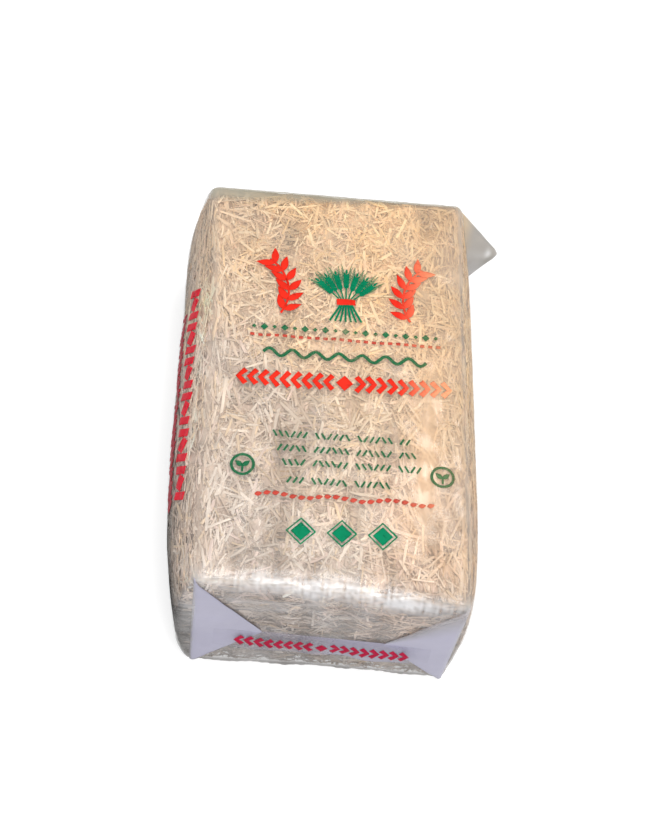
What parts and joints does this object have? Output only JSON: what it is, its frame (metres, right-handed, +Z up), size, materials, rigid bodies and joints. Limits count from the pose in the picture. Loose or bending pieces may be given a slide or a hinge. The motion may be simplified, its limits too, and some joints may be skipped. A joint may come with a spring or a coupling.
{
  "type": "bagged straw bale",
  "caption": "Compressed block of chopped straw in a sealed clear film bag, lying on its broad face, with a seal fin and folded ears at each end.",
  "frame": {"origin": "middle of the broad face that the bale rests on", "axes": "+Z up, +Y along the bale towards the end with the standing ear, +X across the bale to the right seen from the other end"},
  "size_m": [0.5439, 0.7668, 0.276],
  "materials": {
    "clear_film": "clear glossy film, milky where it is doubled or stands off the straw",
    "straw_1": "dry chopped straw, matt, pale gold",
    "straw_2": "dry chopped straw, matt, a little darker",
    "green_ink": "ink printed on the film",
    "red_ink": "ink printed on the film"
  },
  "bodies": {
    "root": {"bag": "clear_film", "wad_1": "straw_1", "wad_2": "straw_2", "wad_3": "straw_1", "wad_4": "straw_2", "wad_5": "straw_1", "wad_6": "straw_2", "wad_7": "straw_1"}
  },
  "joints": []
}
